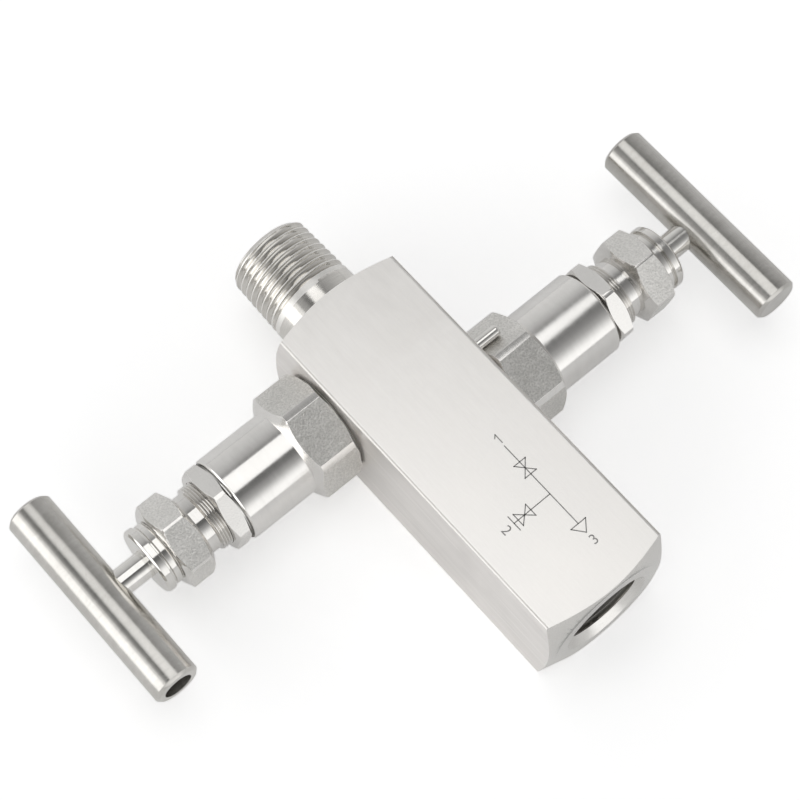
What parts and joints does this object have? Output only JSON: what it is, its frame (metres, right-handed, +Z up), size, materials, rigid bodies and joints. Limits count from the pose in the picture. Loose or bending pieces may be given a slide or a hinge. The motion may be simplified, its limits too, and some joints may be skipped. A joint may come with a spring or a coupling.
{
  "type": "instrument valve manifold",
  "caption": "Bar-stock instrument manifold with an isolation valve and a vent valve on opposite sides, male pipe-thread inlet, female outlet and T-bar handles.",
  "frame": {"origin": "on the flow axis, at the shoulder of the male process inlet where the spigot leaves the block", "axes": "+X along the flow axis from the male inlet to the female outlet, +Y towards the vent valve, +Z up from the flat underside"},
  "size_m": [0.1116, 0.1674, 0.03],
  "materials": {
    "block_steel": "milled bar stock, fine cross brushing",
    "turned_steel": "turned rounds, drawn hexagon flats",
    "polished_steel": "smooth turned and polished stainless",
    "hard_steel": "ground",
    "screw_steel": "blackened socket screw",
    "seal_metal": "annealed soft washer",
    "ptfe": "white packing"
  },
  "bodies": {
    "manifold": {"valve_block": "block_steel", "isolation_bonnet": "turned_steel", "isolation_bonnet_seal": "seal_metal", "isolation_lock_pin": "turned_steel", "isolation_locknut": "turned_steel", "isolation_gland_bolt": "turned_steel", "isolation_dust_cap": "polished_steel", "isolation_packing_washer": "turned_steel", "isolation_packing_rings": "ptfe", "isolation_packing_follower": "turned_steel", "vent_bonnet": "turned_steel", "vent_bonnet_seal": "seal_metal", "vent_lock_pin": "turned_steel", "vent_locknut": "turned_steel", "vent_gland_bolt": "turned_steel", "vent_dust_cap": "polished_steel", "vent_packing_washer": "turned_steel", "vent_packing_rings": "ptfe", "vent_packing_follower": "turned_steel"},
    "isolation_needle": {"isolation_needle_tip": "hard_steel"},
    "isolation_spindle": {"isolation_stem": "polished_steel", "isolation_handle_bar": "polished_steel", "isolation_handle_screw": "screw_steel"},
    "vent_needle": {"vent_needle_tip": "hard_steel"},
    "vent_spindle": {"vent_stem": "polished_steel", "vent_handle_bar": "polished_steel", "vent_handle_screw": "screw_steel"}
  },
  "joints": [
    {"name": "isolation_travel", "type": "slide", "parent": "manifold", "child": "isolation_needle", "axis": [0, -1, 0], "range_m": [0, 0.0041]},
    {"name": "isolation_turn", "type": "hinge", "parent": "isolation_needle", "child": "isolation_spindle", "pos_m": [0.018, -0.0782, 0], "axis": [0, -1, 0], "range_deg": [0, 1440]},
    {"name": "vent_travel", "type": "slide", "parent": "manifold", "child": "vent_needle", "axis": [0, 1, 0], "range_m": [0, 0.0041]},
    {"name": "vent_turn", "type": "hinge", "parent": "vent_needle", "child": "vent_spindle", "pos_m": [0.036, 0.0782, 0], "axis": [0, 1, 0], "range_deg": [0, 1440]}
  ],
  "couplings": [
    {"joint": "isolation_travel", "follows": "isolation_turn", "m_per_rad": 0.00015915},
    {"joint": "vent_travel", "follows": "vent_turn", "m_per_rad": 0.00015915}
  ]
}
